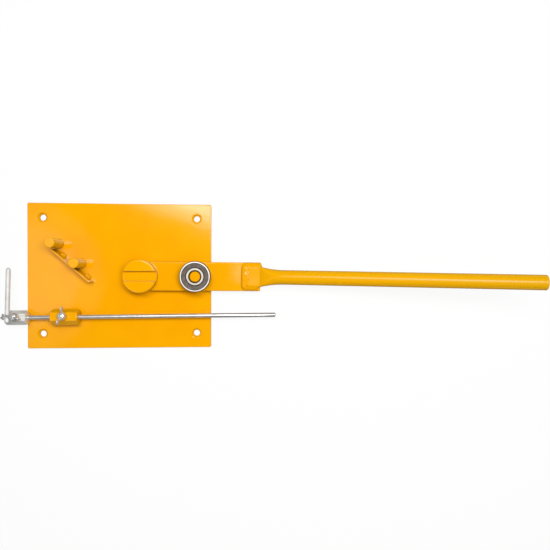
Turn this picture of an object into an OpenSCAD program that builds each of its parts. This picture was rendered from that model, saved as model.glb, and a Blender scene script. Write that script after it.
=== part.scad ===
// Hand wire bender on a bolt-down plate. A lever with a bearing roller swings round a slotted
// mandrel, two pins and a rib back the wire up, and a gauge rod with a finger stop sets its length.
// Millimetres. Origin at the centre of the plate's underside, +X towards the handle, +Z up.

/* [Base plate] */
// Length of the plate along X
plate_length = 250; // [230:1:320]
// Width of the plate along Y
plate_width = 200; // [180:1:260]
// Thickness of the plate
plate_thickness = 5; // [4:0.5:8]
// Radius of the plate's corners
plate_corner_radius = 2; // [1:0.5:6]
// Chamfer along the plate's top edges
plate_edge_break = 0.6; // [0.2:0.1:0.9]
// Distance from the plate's edges to the bolt holes
hole_margin = 20; // [14:1:26]
// Diameter of the bolt holes
hole_diameter = 8.5; // [7:0.5:10]
// Diameter of the countersinks at the top of the bolt holes
countersink_diameter = 14; // [12:0.5:16]

/* [Mandrel and pivot] */
// Distance of the pivot from the plate's centre, towards the handle
pivot_offset = 29.5; // [10:0.5:50]
// Diameter of the pivot shank
pivot_diameter = 20; // [14:1:26]
// Diameter of the mandrel's head
mandrel_diameter = 46; // [40:1:60]
// Thickness of the head under the wire slot
mandrel_web = 6.2; // [4:0.2:14]
// Width of the wire slot
slot_width = 13.5; // [6:0.5:16]
// Depth of the wire slot
slot_depth = 6; // [4:0.5:16]
// Radius round the top edge of the head
mandrel_edge_radius = 2.5; // [0.5:0.1:3]
// Chamfer along the slot's mouth
slot_edge_break = 0.5; // [0.2:0.1:1]

/* [Pins and rib] */
// Distance of the outer pin behind the pivot
outer_pin_back = 112.5; // [100:0.5:122]
// Distance of the outer pin to the side of the pivot
outer_pin_side = 44; // [38:1:60]
// Distance between the two pins
pin_spacing = 40.5; // [34:0.5:50]
// Direction from the outer pin to the inner pin, from +X
pin_line_angle = -41.5; // [-50:0.5:-34]
// Diameter of the pins
pin_diameter = 13; // [10:0.5:16]
// Height of the pins above the floor of the wire slot
pin_rise = 18; // [10:0.5:24]
// Chamfer round the pins' tops
pin_chamfer = 0.6; // [0.3:0.1:1.5]
// Length of the rib
rib_length = 67; // [60:1:80]
// Thickness of the rib
rib_thickness = 2; // [1.5:0.5:6]
// Distance from the outer pin's centre to the rib's start, along the line of pins
rib_start = 1.5; // [-6:0.5:6]
// Gap between the rib and the pins
rib_gap = 1.8; // [0.2:0.1:4]

/* [Lever arm] */
// Width of the arm
arm_width = 40; // [38:1:44]
// Thickness of the arm
arm_thickness = 10; // [8:0.5:14]
// Distance from the pivot to the arm's square end
arm_reach = 164; // [150:1:190]
// Chamfer along the arm's edges
arm_edge_break = 0.8; // [0.3:0.1:1.5]
// Angle at which the lever rests, from +X
lever_rest_angle = -0.25; // [-3:0.25:20]
// Thickness of the thrust washer under the arm
washer_thickness = 1.5; // [1:0.25:3]
// Diameter of the thrust washer
washer_diameter = 36; // [28:1:39]

/* [Roller] */
// Distance from the pivot to the roller's axis
roller_distance = 75; // [66:1:90]
// Bore of the ball bearing
bearing_bore = 15; // [12:1:17]
// Outside diameter of the ball bearing
bearing_diameter = 42; // [40:1:47]
// Width of the ball bearing
bearing_width = 13; // [13:0.5:16]
// Diameter of the bearing's balls
ball_diameter = 7.9; // [7:0.1:8]
// Number of balls
ball_count = 8; // [6:1:8]
// Depth of the ball tracks in the rings
track_depth = 1.5; // [0.8:0.1:1.8]
// Chamfer on the corners of the bearing's rings
ring_chamfer = 0.9; // [0.4:0.1:1.2]
// Thickness of the bearing's seals
seal_thickness = 1.2; // [0.8:0.1:1.4]
// How far the seals lie below the rings' faces
seal_inset = 0.5; // [0.3:0.1:0.7]
// How far the bearing pin's end lies below the bearing's face
roller_pin_recess = 3; // [0.5:0.1:4]
// Outside diameter of the spacer under the bearing
spacer_diameter = 22; // [20:0.5:23]

/* [Handle] */
// Diameter of the handle tube
handle_diameter = 20; // [18:0.5:22]
// Wall of the handle tube
handle_wall = 2; // [1.5:0.25:2.5]
// Length of the handle from its bend to the end of its cap
handle_length = 375; // [250:1:450]
// Angle at which the handle rises from the arm
handle_rise = 12; // [6:0.5:18]
// Angle of the handle to the arm's line, as welded
handle_yaw_angle = -0.55; // [-1:0.05:1]
// Length of the flattened end that laps the arm
handle_lap = 19; // [14:0.5:36]
// Distance of the bend before the arm's end
bend_setback = 1; // [0.5:0.5:5]
// Length over which the tube goes from flat to round
taper_length = 34; // [24:1:50]
// Length of the cap outside the tube
cap_length = 6; // [4:0.5:12]
// Length of the cap's spigot inside the tube
cap_spigot = 14; // [8:1:30]
// Radius round the cap's end
cap_edge_radius = 1.2; // [0.5:0.1:3]

/* [Gauge rod and holder] */
// Diameter of the gauge rod
rod_diameter = 6; // [5:0.5:8]
// Length of the gauge rod
rod_length = 372; // [300:1:420]
// Length of the rod's pointed tip
rod_tip_length = 4; // [2:0.5:6]
// Chamfer on the other end of the rod and of the finger
rod_chamfer = 1; // [0.5:0.1:1.5]
// Distance of the rod from the plate's front edge
gauge_edge_distance = 44; // [40:1:52]
// Size of the holder's hexagon across its flats
holder_flats = 19; // [17:0.5:24]
// Length of the holder
holder_length = 36; // [28:1:44]
// Distance of the holder's middle from the plate's left edge
holder_edge_distance = 54; // [44:1:70]
// Angle of the rod to the plate's front edge, as welded
gauge_turn_angle = 0.45; // [-1:0.05:1]
// Angle at which the holder is rolled about the rod, as welded
holder_roll_angle = 10; // [0:0.5:15]

/* [Stop] */
// Length of the stop sleeve
stop_length = 28; // [24:1:36]
// Gap between the stop sleeve and the holder
stop_to_holder = 31.5; // [28:0.5:60]
// How much smaller the stop's hexagon is than the holder's, on each flat
stop_plate_gap = 1; // [0.5:0.1:2]
// Angle at which the stop is rolled about the rod, as clamped
stop_roll_angle = 8; // [0:0.5:12]
// Length of rod that shows past the stop
rod_overhang = 8.5; // [6:0.5:30]
// Diameter of the finger
finger_diameter = 6; // [5:0.5:7]
// Length of the finger
finger_length = 73.5; // [50:0.5:90]
// Length of the finger's blunt tip
finger_tip_length = 2.5; // [1.5:0.5:4]
// Angle of the finger from square to the rod, as welded
finger_turn_angle = 1.5; // [0:0.1:2]
// Length of the finger in front of the rod's axis
finger_tail = 7; // [5:0.5:10]
// Distance of the finger's axis from the end of the sleeve
finger_setback = 6; // [4:0.5:7]

/* [Wing screws] */
// Diameter of the screws
screw_diameter = 5; // [4:0.5:6]
// Diameter of the hub at its foot
hub_diameter = 11; // [9:0.5:13]
// Diameter of the hub at its top
hub_top_diameter = 9; // [7:0.5:9]
// Height of the hub
hub_height = 6.5; // [5:0.5:9]
// Span of the wings
wing_span = 24.5; // [22:0.5:32]
// Height of the wings above the hub's foot
wing_height = 13; // [11:0.5:17]
// Thickness of the wings
wing_thickness = 2.6; // [2:0.1:3.5]
// Radius of the wings' ends
wing_tip_radius = 3.8; // [3:0.1:4.5]
// Height of the wings' lower edge above the hub's foot
wing_lift = 3; // [2:0.5:4]
// Clearance of the wings above the finger
wing_clearance = 1; // [0.5:0.1:3]
// Gap between the stop screw's hub and the finger
hub_finger_gap = 1; // [1:0.1:3]
// Direction of the holder screw's wings, from +X
holder_wing_angle = 76; // [0:1:180]
// Direction of the stop screw's wings, from +X
stop_wing_angle = -15; // [-90:1:90]

/* [Welds] */
// Leg of the beads beside the handle's flattened end
handle_weld_leg = 4.5; // [2:0.5:5]
// Leg of the bead across the handle's flattened end
handle_end_weld_leg = 8; // [3:0.5:10]
// Leg of the flush weld round the pivot
pivot_weld_leg = 3; // [2:0.5:3.5]
// Leg of the flush welds round the pins
pin_weld_leg = 2.5; // [1.5:0.5:3.5]
// Width of the beads along the holder, measured from under its lower corners
holder_weld_width = 5; // [3:0.5:7]
// Height of the beads along the holder
holder_weld_height = 6; // [4:0.5:7]
// Leg of the tack welds along the rib
tack_leg = 4; // [2.5:0.5:5]
// Length of the tack welds along the rib
tack_length = 11; // [6:1:16]
// Gap between the outer pin and the first tack weld
tack_gap = 3; // [1:0.5:6]
// Leg of the welds beside the finger
finger_weld_leg = 2.2; // [1.5:0.1:2.6]

/* [Fits] */
// Radial clearance of the arm on the pivot
pivot_clearance = 0.08; // [0.02:0.01:0.1]
// Gap between the arm and the mandrel's head
head_gap = 0.4; // [0.3:0.1:1]
// Radial clearance of the rod in its sleeves
rod_clearance = 0.08; // [0.02:0.01:0.1]
// Radial clearance of a screw in its threaded hole
screw_clearance = 0.06; // [0.02:0.01:0.1]
// Gap between a screw's tip and the rod
screw_tip_gap = 0.15; // [0.05:0.05:0.5]
// Clearance between fixed pieces that are fitted or welded together
seat_clearance = 0.02; // [0.01:0.01:0.05]
// Clearance of the balls in their tracks
ball_clearance = 0.06; // [0.02:0.01:0.1]
// Clearance of the balls in the cage's pockets
pocket_clearance = 0.12; // [0.05:0.01:0.2]
// Gap between the seals and the pieces that turn past them
seal_gap = 0.3; // [0.2:0.05:0.4]
// Height of the slot's floor above the rib
rib_drop = 0.5; // [0.3:0.1:2]

/* [Hidden] */
$fn = 96;

// Colours
paint = [1, 0.68, 0.02];
weld_paint = [0.95, 0.62, 0.02];
zinc = [0.78, 0.79, 0.8];
bright_steel = [0.86, 0.86, 0.87];
plain_steel = [0.6, 0.61, 0.63];
seal_rubber = [0.33, 0.32, 0.33];
cage_brass = [0.72, 0.66, 0.5];

// How far a cutting solid runs past the face that it opens
past = 1;
// Steps in a small rounded edge
edge_steps = 4;

// Heights of the stack at the pivot
arm_bottom = plate_thickness + washer_thickness;
arm_top = arm_bottom + arm_thickness;
head_bottom = arm_top + head_gap;
slot_floor = head_bottom + mandrel_web;
head_top = slot_floor + slot_depth;

// Pins and rib
pin_top = slot_floor + pin_rise;
rib_top = slot_floor - rib_drop;
rib_offset = pin_diameter / 2 + rib_gap + rib_thickness / 2;

// Bearing, with its middle at half the slot's depth
bearing_mid = slot_floor + slot_depth / 2;
bearing_bottom = bearing_mid - bearing_width / 2;
bearing_top = bearing_mid + bearing_width / 2;
pitch_radius = (bearing_bore + bearing_diameter) / 4;
ball_radius = ball_diameter / 2;
inner_shoulder = pitch_radius - ball_radius + track_depth;
outer_shoulder = pitch_radius + ball_radius - track_depth;
// Share of the outer ring's wall that the seal's seat takes
seal_seat_share = 0.44;
seal_radius = outer_shoulder + seal_seat_share * (bearing_diameter / 2 - outer_shoulder);
seal_depth = seal_inset + seal_thickness;
seal_groove = 0.6 * seal_thickness;
// Gap between the cage and the rings' shoulders
cage_side_gap = 1.4;
cage_half_height = bearing_width / 2 - seal_depth - seal_gap;
cage_half_wall = (outer_shoulder - inner_shoulder) / 2 - cage_side_gap;

// Handle, measured from its bend
// What is left of the bore where the tube is flattened
crushed_bore = 0.4;
flat_thickness = 2 * handle_wall + crushed_bore;
flat_width = flat_thickness + PI * (handle_diameter - flat_thickness) / 2;
pad_start = bend_setback - handle_lap;
pad_z = arm_top + flat_thickness / 2;
tube_length = handle_length - taper_length - cap_length;
loft_sides = 40;
loft_steps = 12;
// Share of the taper, from the bend, over which the bore stays shut
shut_share = 0.25;
// The taper ends inside the round tube's wall, this much below both of its faces and this far in,
// and the tube reaches back over the taper's last length
let_in_step = 0.1;
let_in_length = 0.5;
tube_lead = let_in_length / 2;
spigot_chamfer = 0.5;
// Least width of arm left bare beside the bead
bare_edge = 0.3;
pad_weld_leg = min(handle_weld_leg, (arm_width - flat_width) / 2 - bare_edge);
// How far the bead reaches in under the rounded side of the flattened end
bead_reach_in = flat_thickness / 3;
// Height of the bead, in shares of the flattened end's thickness
bead_height = 0.85 * flat_thickness;
// The bead's outer slope from its top down, in shares of its reach and of its height
bead_profile = [[0, 1], [0.4, 0.8], [0.8, 0.3], [1, 0]];

// Gauge, measured along the rod from the holder's middle and up from the rod's axis. The holder
// stands on its lower corner.
holder_x = -plate_length / 2 + holder_edge_distance;
gauge_y = -plate_width / 2 + gauge_edge_distance;
// Half of the angle between two corners of a hexagon, seen from its centre
hex_half_angle = 30;
holder_corner = holder_flats / sqrt(3);
rod_height = holder_corner * cos(hex_half_angle - holder_roll_angle);
stop_flats = holder_flats - 2 * stop_plate_gap;
stop_end = -holder_length / 2 - stop_to_holder - stop_length;
finger_x = stop_end + finger_setback;
stop_screw_x = finger_x + finger_diameter / 2 + hub_finger_gap + hub_diameter / 2;
screw_exposed = finger_diameter + wing_clearance - wing_lift;
rod_start = stop_end - rod_overhang;
// Radius of the flat at the end of the rod's tip, and the share of its radius that the finger's tip keeps
rod_tip_flat = 0.4;
finger_tip_share = 0.4;
// Size of the round face at a hexagon's ends, in shares of its flats, and the slope behind it
hex_face_share = 0.92;
hex_end_slope = 30;

// Wing screws
wing_root_radius = 1.6;
// How far the wings' roots reach into the hub
wing_root_depth = 2;

// Welds
// Share of a tack's leg that is left at the middle of its hollow face
tack_hollow = 0.4;
// Where a holder bead bulges, in shares of its width and of its height
holder_bulge = [0.9, 0.4];
// Distance of a holder bead's root from under the rod's axis, in shares of the hexagon's flats
holder_weld_root = 0.22;
// Width of the strip that parts the two beads under the finger
finger_weld_parting = 1;

// Places and carriers

module on_lever() {
    translate([pivot_offset, 0, 0])
        rotate(lever_rest_angle)
            children();
}

module at_roller() {
    on_lever()
        translate([roller_distance, 0, 0])
            children();
}

module at_bearing() {
    at_roller()
        translate([0, 0, bearing_mid])
            children();
}

// The outer pin's foot, with X along the line of pins
module on_pin_line() {
    translate([pivot_offset - outer_pin_back, outer_pin_side, 0])
        rotate(pin_line_angle)
            children();
}

// The arm under the handle's bend, with X along the handle's plan
module at_bend() {
    on_lever()
        translate([arm_reach - bend_setback, 0, 0])
            rotate(handle_yaw_angle)
                children();
}

// The handle's bend, with X along the rising tube
module on_handle() {
    at_bend()
        translate([0, 0, pad_z])
            rotate([0, -handle_rise, 0])
                children();
}

// A point on the rod's axis at a distance from the holder's middle, with X along the rod, rolled
// about it
module on_rod(distance, roll) {
    translate([holder_x, gauge_y, plate_thickness + rod_height])
        rotate(gauge_turn_angle)
            translate([distance, 0, 0])
                rotate([-roll, 0, 0])
                    children();
}

// The stop's top flat under the finger, with Y along the finger
module on_finger() {
    on_rod(finger_x, stop_roll_angle)
        translate([0, 0, stop_flats / 2])
            rotate(finger_turn_angle)
                children();
}

module at_bolt_holes() {
    for (x = [-1, 1], y = [-1, 1])
        translate([x * (plate_length / 2 - hole_margin), y * (plate_width / 2 - hole_margin), 0])
            children();
}

// Shared shapes

function arc(center, radius, from, to, steps) =
    [for (i = [0:steps]) center + radius * [cos(from + (to - from) * i / steps),
                                            sin(from + (to - from) * i / steps)]];

// A section with chamfered top corners, standing on its middle
module broken_edge_section(width, height, edge) {
    polygon([[-width / 2, 0], [width / 2, 0], [width / 2, height - edge],
             [width / 2 - edge, height], [edge - width / 2, height], [-width / 2, height - edge]]);
}

// A round post with a chamfered top
module chamfered_post(diameter, height, edge) {
    rotate_extrude()
        polygon([[0, 0], [diameter / 2, 0], [diameter / 2, height - edge],
                 [diameter / 2 - edge, height], [0, height]]);
}

// A hole for a piece that is welded flush from below
module plug_weld_hole(diameter, bottom, leg, top) {
    translate([0, 0, bottom - past])
        cylinder(d = diameter + 2 * seat_clearance, h = top - bottom + 2 * past);
    translate([0, 0, bottom - past])
        cylinder(r1 = diameter / 2 + leg + past, r2 = diameter / 2, h = leg + past);
}

// The ring of weld that fills the countersink of such a hole
module plug_weld(diameter, bottom, leg) {
    inner = diameter / 2 + seat_clearance;
    net_leg = leg - 3 * seat_clearance;
    translate([0, 0, bottom])
        rotate_extrude()
            polygon([[inner, 0], [inner + net_leg, 0], [inner, net_leg]]);
}

// Two circles of different size joined by their outer tangents
module tapered_link(a, a_radius, b, b_radius) {
    span = norm(b - a);
    heading = atan2(b[1] - a[1], b[0] - a[0]);
    lean = acos((a_radius - b_radius) / span);
    side = [for (s = [-1, 1]) [cos(heading + s * lean), sin(heading + s * lean)]];
    translate(a)
        circle(a_radius);
    translate(b)
        circle(b_radius);
    polygon([a + a_radius * side[0], b + b_radius * side[0],
             b + b_radius * side[1], a + a_radius * side[1]]);
}

// A hexagon sleeve along X with chamfered ends, a flat on top, a clear bore and a screw hole
module hex_sleeve(flats, length, screw_place) {
    corner = flats / sqrt(3);
    face = hex_face_share * flats / 2;
    half = length / 2;
    drop = (corner - face) * tan(hex_end_slope);
    difference() {
        rotate([0, 90, 0])
            difference() {
                intersection() {
                    rotate(hex_half_angle)
                        cylinder(r = corner, h = length, center = true, $fn = 6);
                    rotate_extrude()
                        polygon([[0, -half], [face, -half], [corner, drop - half],
                                 [corner, half - drop], [face, half], [0, half]]);
                }
                cylinder(d = rod_diameter + 2 * rod_clearance, h = length + 2 * past, center = true);
            }
        translate([screw_place, 0, 0])
            cylinder(d = screw_diameter + 2 * screw_clearance, h = flats);
    }
}

// A wing screw standing on the rod, its hub clear of the sleeve's top
module wing_screw(sleeve_flats) {
    foot = sleeve_flats / 2 + screw_exposed;
    tip = rod_diameter / 2 + screw_tip_gap;
    translate([0, 0, tip])
        cylinder(d = screw_diameter, h = foot - tip + past);
    translate([0, 0, foot])
        cylinder(d1 = hub_diameter, d2 = hub_top_diameter, h = hub_height);
    for (turn = [0, 180])
        rotate(turn)
            translate([0, wing_thickness / 2, foot])
                rotate([90, 0, 0])
                    linear_extrude(wing_thickness)
                        tapered_link(
                            [hub_top_diameter / 2 - wing_root_depth, wing_lift + wing_root_radius],
                            wing_root_radius,
                            [wing_span / 2 - wing_tip_radius, wing_height - wing_tip_radius],
                            wing_tip_radius);
}

// A rod along Z with one pointed and one chamfered end
module pointed_rod(diameter, length, tip, tip_flat) {
    rotate_extrude()
        polygon([[0, 0], [diameter / 2 - rod_chamfer, 0], [diameter / 2, rod_chamfer],
                 [diameter / 2, length - tip], [tip_flat, length], [0, length]]);
}

// Base

module base_plate() {
    color(paint)
        difference() {
            union() {
                translate([-plate_length / 2 + plate_corner_radius, 0, 0])
                    rotate([90, 0, 90])
                        linear_extrude(plate_length - 2 * plate_corner_radius)
                            broken_edge_section(plate_width, plate_thickness, plate_edge_break);
                translate([0, plate_width / 2 - plate_corner_radius, 0])
                    rotate([90, 0, 0])
                        linear_extrude(plate_width - 2 * plate_corner_radius)
                            broken_edge_section(plate_length, plate_thickness, plate_edge_break);
                for (x = [-1, 1], y = [-1, 1])
                    translate([x * (plate_length / 2 - plate_corner_radius),
                               y * (plate_width / 2 - plate_corner_radius), 0])
                        chamfered_post(2 * plate_corner_radius, plate_thickness, plate_edge_break);
            }
            at_bolt_holes()
                bolt_hole();
            translate([pivot_offset, 0, 0])
                plug_weld_hole(pivot_diameter, 0, pivot_weld_leg, plate_thickness);
            on_pin_line()
                for (x = [0, pin_spacing])
                    translate([x, 0, 0])
                        plug_weld_hole(pin_diameter, 0, pin_weld_leg, plate_thickness);
        }
}

module bolt_hole() {
    sink = (countersink_diameter - hole_diameter) / 2;
    translate([0, 0, -past])
        cylinder(d = hole_diameter, h = plate_thickness + 2 * past);
    translate([0, 0, plate_thickness - sink])
        cylinder(d1 = hole_diameter, d2 = countersink_diameter + 2 * past, h = sink + past);
}

module pivot_mandrel() {
    head_radius = mandrel_diameter / 2;
    color(paint)
        translate([pivot_offset, 0, 0])
            difference() {
                rotate_extrude()
                    polygon(concat(
                        [[0, 0], [pivot_diameter / 2, 0], [pivot_diameter / 2, head_bottom],
                         [head_radius, head_bottom]],
                        arc([head_radius - mandrel_edge_radius, head_top - mandrel_edge_radius],
                            mandrel_edge_radius, 0, 90, edge_steps),
                        [[0, head_top]]));
                translate([-head_radius - past, 0, slot_floor])
                    rotate([90, 0, 90])
                        linear_extrude(mandrel_diameter + 2 * past)
                            polygon([[-slot_width / 2, 0], [slot_width / 2, 0],
                                     [slot_width / 2, slot_depth - slot_edge_break],
                                     [slot_width / 2 + slot_edge_break + past, slot_depth + past],
                                     [-slot_width / 2 - slot_edge_break - past, slot_depth + past],
                                     [-slot_width / 2, slot_depth - slot_edge_break]]);
            }
}

module pivot_weld() {
    color(weld_paint)
        translate([pivot_offset, 0, 0])
            plug_weld(pivot_diameter, 0, pivot_weld_leg);
}

module thrust_washer() {
    color(plain_steel)
        translate([pivot_offset, 0, plate_thickness])
            difference() {
                cylinder(d = washer_diameter, h = washer_thickness);
                translate([0, 0, -past])
                    cylinder(d = pivot_diameter + 2 * pivot_clearance, h = washer_thickness + 2 * past);
            }
}

module outer_pin() {
    color(paint)
        on_pin_line()
            chamfered_post(pin_diameter, pin_top, pin_chamfer);
}

module inner_pin() {
    color(paint)
        on_pin_line()
            translate([pin_spacing, 0, 0])
                chamfered_post(pin_diameter, pin_top, pin_chamfer);
}

module pin_welds() {
    color(weld_paint)
        on_pin_line()
            for (x = [0, pin_spacing])
                translate([x, 0, 0])
                    plug_weld(pin_diameter, 0, pin_weld_leg);
}

module wire_rib() {
    color(paint)
        on_pin_line()
            translate([rib_start, -rib_offset - rib_thickness / 2, plate_thickness])
                cube([rib_length, rib_thickness, rib_top - plate_thickness]);
}

// Two tacks along the rib on its pin side and one across its end
module rib_welds() {
    rib_end = rib_start + rib_length;
    first = pin_diameter / 2 + tack_gap;
    last = rib_end - tack_leg - tack_length;
    color(weld_paint)
        on_pin_line()
            translate([0, -rib_offset, plate_thickness]) {
                for (start = [first, last])
                    translate([start, rib_thickness / 2, 0])
                        tack(tack_length);
                translate([rib_end, tack_leg / 2, 0])
                    rotate(-90)
                        tack(tack_leg);
            }
}

// A tack weld along X with hollow face, in the corner of a plate and a wall that faces +Y
module tack(length) {
    rotate([90, 0, 90])
        linear_extrude(length)
            polygon([[0, 0], [tack_leg, 0], tack_hollow * [tack_leg, tack_leg], [0, tack_leg]]);
}

// Gauge

module rod_holder() {
    color(paint)
        on_rod(0, holder_roll_angle)
            hex_sleeve(holder_flats, holder_length, 0);
}

// Beads along both sides of the holder, in the wedges between its lower faces and the plate
module holder_welds() {
    root = holder_weld_root * holder_flats;
    reach = root + holder_weld_width;
    bulge = [root + holder_bulge[0] * holder_weld_width, holder_bulge[1] * holder_weld_height];
    color(weld_paint)
        on_rod(0, 0)
            rotate([90, 0, 90])
                linear_extrude(holder_length, center = true)
                    difference() {
                        for (side = [0, 1])
                            mirror([side, 0])
                                translate([0, -rod_height])
                                    polygon([[root, 0], [reach, 0], bulge, [root, holder_weld_height]]);
                        rotate(-holder_roll_angle)
                            circle(holder_corner + seat_clearance, $fn = 6);
                    }
}

module holder_wing_screw() {
    color(zinc)
        on_rod(0, holder_roll_angle)
            rotate(holder_wing_angle)
                wing_screw(holder_flats);
}

module gauge_rod() {
    color(bright_steel)
        on_rod(rod_start + rod_length, 0)
            rotate([0, -90, 0])
                pointed_rod(rod_diameter, rod_length, rod_tip_length, rod_tip_flat);
}

module stop_sleeve() {
    middle = stop_end + stop_length / 2;
    color(zinc)
        on_rod(middle, stop_roll_angle)
            hex_sleeve(stop_flats, stop_length, stop_screw_x - middle);
}

module stop_finger() {
    color(bright_steel)
        on_finger()
            translate([0, -finger_tail, finger_diameter / 2])
                rotate([-90, 0, 0])
                    pointed_rod(finger_diameter, finger_length, finger_tip_length,
                                finger_tip_share * finger_diameter / 2);
}

module finger_welds() {
    flat = stop_flats / sqrt(3);
    reach = finger_diameter / 2 + finger_weld_leg / 2;
    color(zinc)
        on_finger()
            translate([0, flat / 2, 0])
                rotate([90, 0, 0])
                    linear_extrude(flat)
                        difference() {
                            polygon([[-reach, 0], [reach, 0], [0, reach]]);
                            translate([0, finger_diameter / 2])
                                circle(d = finger_diameter + 2 * seat_clearance);
                            translate([-reach, finger_diameter / 2])
                                square(2 * reach);
                            translate([-finger_weld_parting / 2, 0])
                                square([finger_weld_parting, finger_diameter]);
                        }
}

module stop_wing_screw() {
    color(zinc)
        on_rod(stop_screw_x, stop_roll_angle)
            rotate(stop_wing_angle)
                wing_screw(stop_flats);
}

// Lever

module lever_arm() {
    color(paint)
        on_lever()
            difference() {
                translate([0, 0, arm_bottom])
                    union() {
                        rotate([90, 0, 90])
                            linear_extrude(arm_reach)
                                broken_edge_section(arm_width, arm_thickness, arm_edge_break);
                        chamfered_post(arm_width, arm_thickness, arm_edge_break);
                    }
                translate([0, 0, arm_bottom - past])
                    cylinder(d = pivot_diameter + 2 * pivot_clearance, h = arm_thickness + 2 * past);
                translate([roller_distance, 0, 0])
                    plug_weld_hole(bearing_bore, arm_bottom, pin_weld_leg, arm_top);
            }
}

module roller_pin() {
    length = bearing_top - roller_pin_recess - arm_bottom;
    color(paint)
        at_roller()
            translate([0, 0, arm_bottom])
                chamfered_post(bearing_bore - 2 * seat_clearance, length, pin_chamfer);
}

module roller_pin_weld() {
    color(weld_paint)
        at_roller()
            plug_weld(bearing_bore, arm_bottom, pin_weld_leg);
}

module roller_spacer() {
    color(paint)
        at_roller()
            translate([0, 0, arm_top])
                difference() {
                    cylinder(d = spacer_diameter, h = bearing_bottom - arm_top);
                    translate([0, 0, -past])
                        cylinder(d = bearing_bore, h = bearing_bottom - arm_top + 2 * past);
                }
}

module ball_track() {
    translate([pitch_radius, 0])
        circle(ball_radius + ball_clearance);
}

module bearing_inner_ring() {
    bore = bearing_bore / 2;
    half = bearing_width / 2;
    color(bright_steel)
        at_bearing()
            rotate_extrude()
                difference() {
                    polygon([[bore, ring_chamfer - half], [bore + ring_chamfer, -half],
                             [inner_shoulder, -half], [inner_shoulder, half],
                             [bore + ring_chamfer, half], [bore, half - ring_chamfer]]);
                    ball_track();
                }
}

module bearing_outer_ring() {
    rim = bearing_diameter / 2;
    half = bearing_width / 2;
    color(bright_steel)
        at_bearing()
            rotate_extrude()
                difference() {
                    polygon([[outer_shoulder, seal_depth - half], [seal_radius, seal_depth - half],
                             [seal_radius, -half], [rim - ring_chamfer, -half], [rim, ring_chamfer - half],
                             [rim, half - ring_chamfer], [rim - ring_chamfer, half], [seal_radius, half],
                             [seal_radius, half - seal_depth], [outer_shoulder, half - seal_depth]]);
                    ball_track();
                }
}

// A seal whose outer face lies seal_inset below the ring's face, with a rounded lip groove
module seal() {
    lip = inner_shoulder + seal_gap;
    groove = (lip + seal_radius) / 2;
    color(seal_rubber)
        translate([0, 0, bearing_width / 2 - seal_depth])
            rotate_extrude()
                difference() {
                    translate([lip, seat_clearance])
                        square([seal_radius - seat_clearance - lip, seal_thickness - seat_clearance]);
                    translate([groove, seal_thickness])
                        circle(d = seal_groove);
                }
}

module upper_seal() {
    at_bearing()
        seal();
}

module lower_seal() {
    at_bearing()
        mirror([0, 0, 1])
            seal();
}

module at_balls() {
    for (i = [0:ball_count - 1])
        rotate(i * 360 / ball_count)
            translate([pitch_radius, 0, 0])
                children();
}

module bearing_balls() {
    color(bright_steel)
        at_bearing()
            at_balls()
                sphere(ball_radius);
}

module bearing_cage() {
    color(cage_brass)
        at_bearing()
            difference() {
                rotate_extrude()
                    translate([pitch_radius - cage_half_wall, -cage_half_height])
                        square([2 * cage_half_wall, 2 * cage_half_height]);
                at_balls()
                    rotate([0, 90, 0])
                        cylinder(r = ball_radius + pocket_clearance,
                                 h = 2 * (cage_half_wall + past), center = true);
            }
}

// Handle

// Width of the flattened tube at a share of the taper, and the height that the same girth leaves
function taper_width(share, flat, round) = round + (flat - round) * pow(1 - share, 2);
function taper_height(width, thin, round) = max(thin, (PI * round - 2 * width) / (PI - 2));

// One slotted-hole outline, leaning with the tube
function oval(x, z, lean, width, height) =
    [for (k = [0:loft_sides - 1])
        let (a = 360 * (k + 0.5) / loft_sides,
             across = height / 2 * cos(a) + sign(cos(a)) * (width - height) / 2,
             up = height / 2 * sin(a))
        [x - up * sin(lean), across, z + up * cos(lean)]];

// The taper's section at a run from the bend. The inset comes off all round, so the same rule
// makes the inside.
function taper_section(run, inset) =
    let (share = min(1, run / taper_length),
         width = taper_width(share, flat_width, handle_diameter),
         height = taper_height(width, flat_thickness, handle_diameter),
         lean = run == 0 ? handle_rise / 2 : handle_rise)
    oval(run * cos(handle_rise), pad_z + run * sin(handle_rise), lean,
         width - 2 * inset, height - 2 * inset);

// The taper's runs from a given step on, let into the round tube by a short length
function taper_runs(first, let_in) =
    concat([for (i = [first:loft_steps]) taper_length * i / loft_steps], [taper_length + let_in]);

module loft(sections) {
    rings = len(sections);
    points = [for (section = sections) each section];
    sides = [for (r = [0:rings - 2], k = [0:loft_sides - 1])
                let (a = r * loft_sides + k,
                     b = r * loft_sides + (k + 1) % loft_sides)
                [a, a + loft_sides, b + loft_sides, b]];
    start = [for (k = [0:loft_sides - 1]) k];
    finish = [for (k = [loft_sides - 1:-1:0]) (rings - 1) * loft_sides + k];
    polyhedron(points, concat([start], sides, [finish]));
}

module handle_tube() {
    pad = oval(pad_start, pad_z, 0, flat_width, flat_thickness);
    first_hollow = ceil(shut_share * loft_steps);
    color(paint) {
        at_bend()
            difference() {
                loft(concat([pad], [for (run = taper_runs(0, let_in_length))
                    taper_section(run, let_in_step * min(1, run / taper_length))]));
                loft([for (run = taper_runs(first_hollow, 2 * let_in_length))
                    taper_section(run, handle_wall - let_in_step)]);
            }
        on_handle()
            translate([taper_length - tube_lead, 0, 0])
                rotate([0, 90, 0])
                    difference() {
                        cylinder(d = handle_diameter, h = tube_length + tube_lead);
                        translate([0, 0, -past])
                            cylinder(d = handle_diameter - 2 * handle_wall, h = tube_length + 3 * past);
                    }
    }
}

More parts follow.
